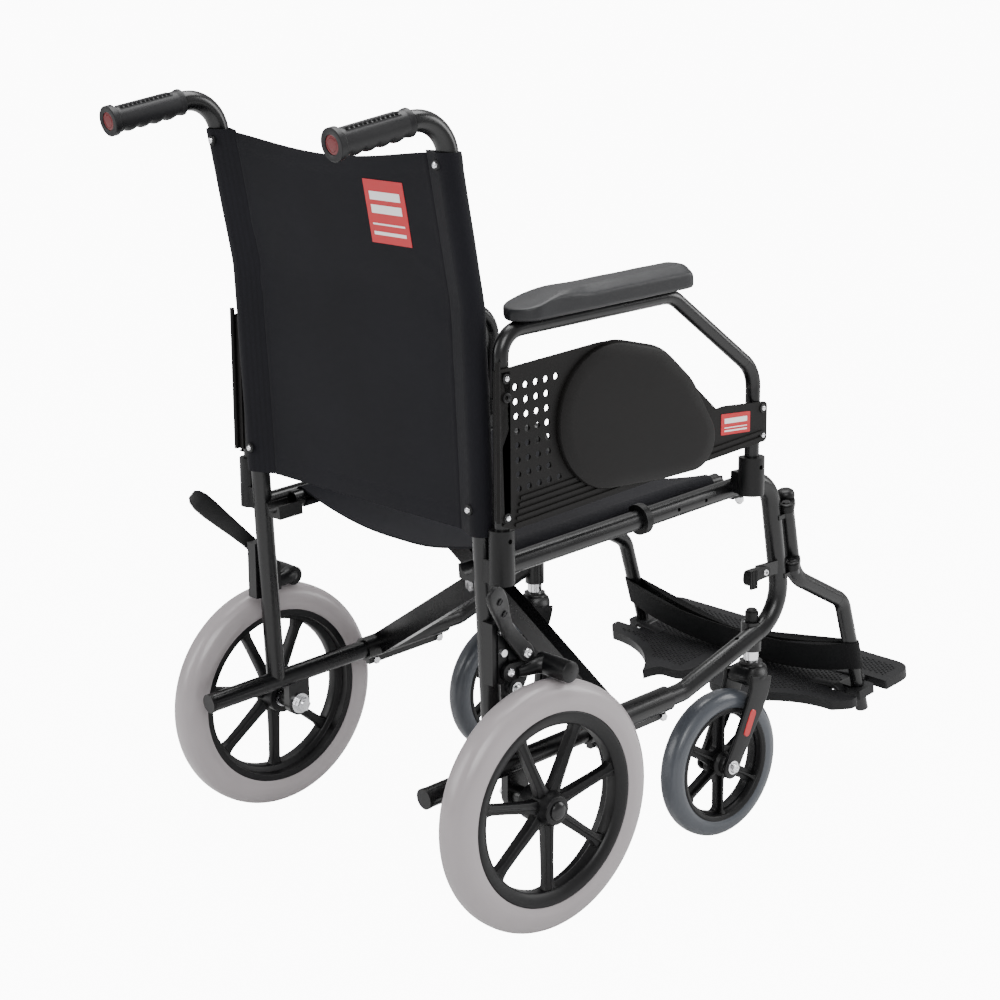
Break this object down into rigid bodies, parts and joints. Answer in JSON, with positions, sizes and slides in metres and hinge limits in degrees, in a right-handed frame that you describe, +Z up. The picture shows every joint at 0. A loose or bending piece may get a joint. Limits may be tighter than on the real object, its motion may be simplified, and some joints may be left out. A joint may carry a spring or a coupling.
{
  "type": "manual wheelchair",
  "caption": "Folding attendant-propelled wheelchair with tubular frame, sling seat and back, lift-off armrests, swing-away leg rests and swivel casters.",
  "frame": {"origin": "middle of the footprint on the floor, at the bottom centre of the bounding box", "axes": "+X forwards, +Y to the occupant's left, +Z up"},
  "size_m": [1.0054, 0.608, 0.9927],
  "materials": {
    "frame_paint": "gloss powder coat",
    "bracket_black": "satin",
    "black_plastic": "moulded, fine grain",
    "grip_rubber": "soft matt",
    "bearing_steel": "ground",
    "plated_steel": "zinc plated",
    "wheel_plastic": "moulded satin",
    "rear_tyre": "smooth solid rubber",
    "fork_plastic": "satin",
    "caster_tyre": "smooth solid rubber",
    "arm_pad": "skinned foam",
    "panel_plastic": "moulded, fine grain",
    "footplate_plastic": "moulded tread",
    "strap_webbing": "hook and loop webbing",
    "upholstery": "coated nylon weave"
  },
  "bodies": {
    "side_frame_right": {"right_frame_tube": "frame_paint", "right_lower_rail": "frame_paint", "right_back_post": "frame_paint", "right_hand_grip": "grip_rubber", "right_caster_bearings": "bearing_steel", "right_arm_sockets": "black_plastic", "right_rail_fittings": "black_plastic", "right_frame_fasteners": "plated_steel", "right_rear_axle": "plated_steel", "right_brake_bracket": "bracket_black", "back_upholstery": "upholstery"},
    "cross_brace_right": {"cross_brace_b": "frame_paint", "pivot_bolt": "plated_steel"},
    "cross_brace_left": {"cross_brace_a": "frame_paint", "seat_upholstery": "upholstery"},
    "side_frame_left": {"left_frame_tube": "frame_paint", "left_lower_rail": "frame_paint", "left_back_post": "frame_paint", "left_hand_grip": "grip_rubber", "left_caster_bearings": "bearing_steel", "left_arm_sockets": "black_plastic", "left_rail_fittings": "black_plastic", "left_frame_fasteners": "plated_steel", "left_rear_axle": "plated_steel", "left_brake_bracket": "bracket_black"},
    "rear_wheel_right": {"right_rear_rim": "wheel_plastic", "right_rear_tyre": "rear_tyre", "right_rear_bearings": "bearing_steel"},
    "caster_fork_right": {"right_caster_fork": "fork_plastic", "right_caster_hardware": "plated_steel"},
    "caster_wheel_right": {"right_caster_rim": "wheel_plastic", "right_caster_tyre": "caster_tyre"},
    "armrest_right": {"right_arm_tube": "frame_paint", "right_arm_pad": "arm_pad", "right_side_panel": "panel_plastic"},
    "brake_lever_right": {"right_brake_lever": "bracket_black"},
    "brake_arm_right": {"right_brake_arm": "bracket_black"},
    "legrest_right": {"right_legrest_tube": "frame_paint", "right_foot_stem": "frame_paint", "right_calf_strap": "strap_webbing"},
    "footplate_right": {"right_footplate": "footplate_plastic"},
    "latch_right": {"right_latch_lever": "black_plastic"},
    "rear_wheel_left": {"left_rear_rim": "wheel_plastic", "left_rear_tyre": "rear_tyre", "left_rear_bearings": "bearing_steel"},
    "caster_fork_left": {"left_caster_fork": "fork_plastic", "left_caster_hardware": "plated_steel"},
    "caster_wheel_left": {"left_caster_rim": "wheel_plastic", "left_caster_tyre": "caster_tyre"},
    "armrest_left": {"left_arm_tube": "frame_paint", "left_arm_pad": "arm_pad", "left_side_panel": "panel_plastic"},
    "brake_lever_left": {"left_brake_lever": "bracket_black"},
    "brake_arm_left": {"left_brake_arm": "bracket_black"},
    "legrest_left": {"left_legrest_tube": "frame_paint", "left_foot_stem": "frame_paint", "left_calf_strap": "strap_webbing"},
    "footplate_left": {"left_footplate": "footplate_plastic"},
    "latch_left": {"left_latch_lever": "black_plastic"}
  },
  "joints": [
    {"name": "fold", "type": "hinge", "parent": "side_frame_right", "child": "cross_brace_right", "pos_m": [-0.09709, -0.225, 0.20929], "axis": [0.9972, 0, 0.075], "range_deg": [0, 44], "deforming": ["seat_upholstery", "back_upholstery", "right_calf_strap", "left_calf_strap"]},
    {"name": "brace_scissor", "type": "hinge", "parent": "cross_brace_right", "child": "cross_brace_left", "pos_m": [-0.10758, 0, 0.34889], "axis": [0.9972, 0, 0.075], "range_deg": [-89, 0]},
    {"name": "left_frame_hinge", "type": "hinge", "parent": "cross_brace_left", "child": "side_frame_left", "pos_m": [-0.09709, 0.225, 0.20929], "axis": [0.9972, 0, 0.075], "range_deg": [0, 45]},
    {"name": "right_rear_wheel_spin", "type": "hinge", "parent": "side_frame_right", "child": "rear_wheel_right", "pos_m": [-0.24509, -0.279, 0.157], "axis": [0, 1, 0], "continuous": true},
    {"name": "right_caster_swivel", "type": "hinge", "parent": "side_frame_right", "child": "caster_fork_right", "pos_m": [0.18391, -0.216, 0.24], "axis": [0, 0, 1], "continuous": true},
    {"name": "right_caster_spin", "type": "hinge", "parent": "caster_fork_right", "child": "caster_wheel_right", "pos_m": [0.12391, -0.216, 0.1], "axis": [0, 1, 0], "continuous": true},
    {"name": "right_armrest_lift", "type": "slide", "parent": "side_frame_right", "child": "armrest_right", "axis": [0, 0, 1], "range_m": [0, 0.1]},
    {"name": "right_brake_lever_turn", "type": "hinge", "parent": "side_frame_right", "child": "brake_lever_right", "pos_m": [-0.25709, -0.257, 0.348], "axis": [0, 1, 0], "range_deg": [0, 45]},
    {"name": "right_brake_arm_turn", "type": "hinge", "parent": "side_frame_right", "child": "brake_arm_right", "pos_m": [-0.27809, -0.253, 0.32683], "axis": [0, -1, 0], "range_deg": [0, 15]},
    {"name": "right_legrest_swing", "type": "hinge", "parent": "side_frame_right", "child": "legrest_right", "pos_m": [0.22749, -0.235, 0.433], "axis": [0.1616, 0, -0.9869], "range_deg": [0, 90]},
    {"name": "right_footplate_flip", "type": "hinge", "parent": "legrest_right", "child": "footplate_right", "pos_m": [0.40985, -0.195, 0.138], "axis": [0.989, 0, 0.1478], "range_deg": [0, 91]},
    {"name": "right_latch_turn", "type": "hinge", "parent": "side_frame_right", "child": "latch_right", "pos_m": [0.17877, -0.24, 0.358], "axis": [0, -1, 0], "range_deg": [0, 20], "stiffness_Nm_per_rad": 0.2, "springref_deg": -11.46},
    {"name": "left_rear_wheel_spin", "type": "hinge", "parent": "side_frame_left", "child": "rear_wheel_left", "pos_m": [-0.24509, 0.279, 0.157], "axis": [0, 1, 0], "continuous": true},
    {"name": "left_caster_swivel", "type": "hinge", "parent": "side_frame_left", "child": "caster_fork_left", "pos_m": [0.18391, 0.216, 0.24], "axis": [0, 0, 1], "continuous": true},
    {"name": "left_caster_spin", "type": "hinge", "parent": "caster_fork_left", "child": "caster_wheel_left", "pos_m": [0.12391, 0.216, 0.1], "axis": [0, 1, 0], "continuous": true},
    {"name": "left_armrest_lift", "type": "slide", "parent": "side_frame_left", "child": "armrest_left", "axis": [0, 0, 1], "range_m": [0, 0.1]},
    {"name": "left_brake_lever_turn", "type": "hinge", "parent": "side_frame_left", "child": "brake_lever_left", "pos_m": [-0.25709, 0.257, 0.348], "axis": [0, 1, 0], "range_deg": [0, 45]},
    {"name": "left_brake_arm_turn", "type": "hinge", "parent": "side_frame_left", "child": "brake_arm_left", "pos_m": [-0.27809, 0.253, 0.32683], "axis": [0, -1, 0], "range_deg": [0, 15]},
    {"name": "left_legrest_swing", "type": "hinge", "parent": "side_frame_left", "child": "legrest_left", "pos_m": [0.22749, 0.235, 0.433], "axis": [-0.1616, 0, 0.9869], "range_deg": [0, 90]},
    {"name": "left_footplate_flip", "type": "hinge", "parent": "legrest_left", "child": "footplate_left", "pos_m": [0.40985, 0.195, 0.138], "axis": [-0.989, 0, -0.1478], "range_deg": [0, 91]},
    {"name": "left_latch_turn", "type": "hinge", "parent": "side_frame_left", "child": "latch_left", "pos_m": [0.17877, 0.24, 0.358], "axis": [0, -1, 0], "range_deg": [0, 20], "stiffness_Nm_per_rad": 0.2, "springref_deg": -11.46}
  ],
  "couplings": [
    {"joint": "brace_scissor", "follows": "fold", "ratio": -2},
    {"joint": "left_frame_hinge", "follows": "fold", "ratio": 1},
    {"joint": "right_brake_arm_turn", "follows": "right_brake_lever_turn", "ratio": 0.2778},
    {"joint": "right_footplate_flip", "follows": "fold", "ratio": 2.0455},
    {"joint": "left_brake_arm_turn", "follows": "left_brake_lever_turn", "ratio": 0.2778},
    {"joint": "left_footplate_flip", "follows": "fold", "ratio": 2.0455}
  ]
}
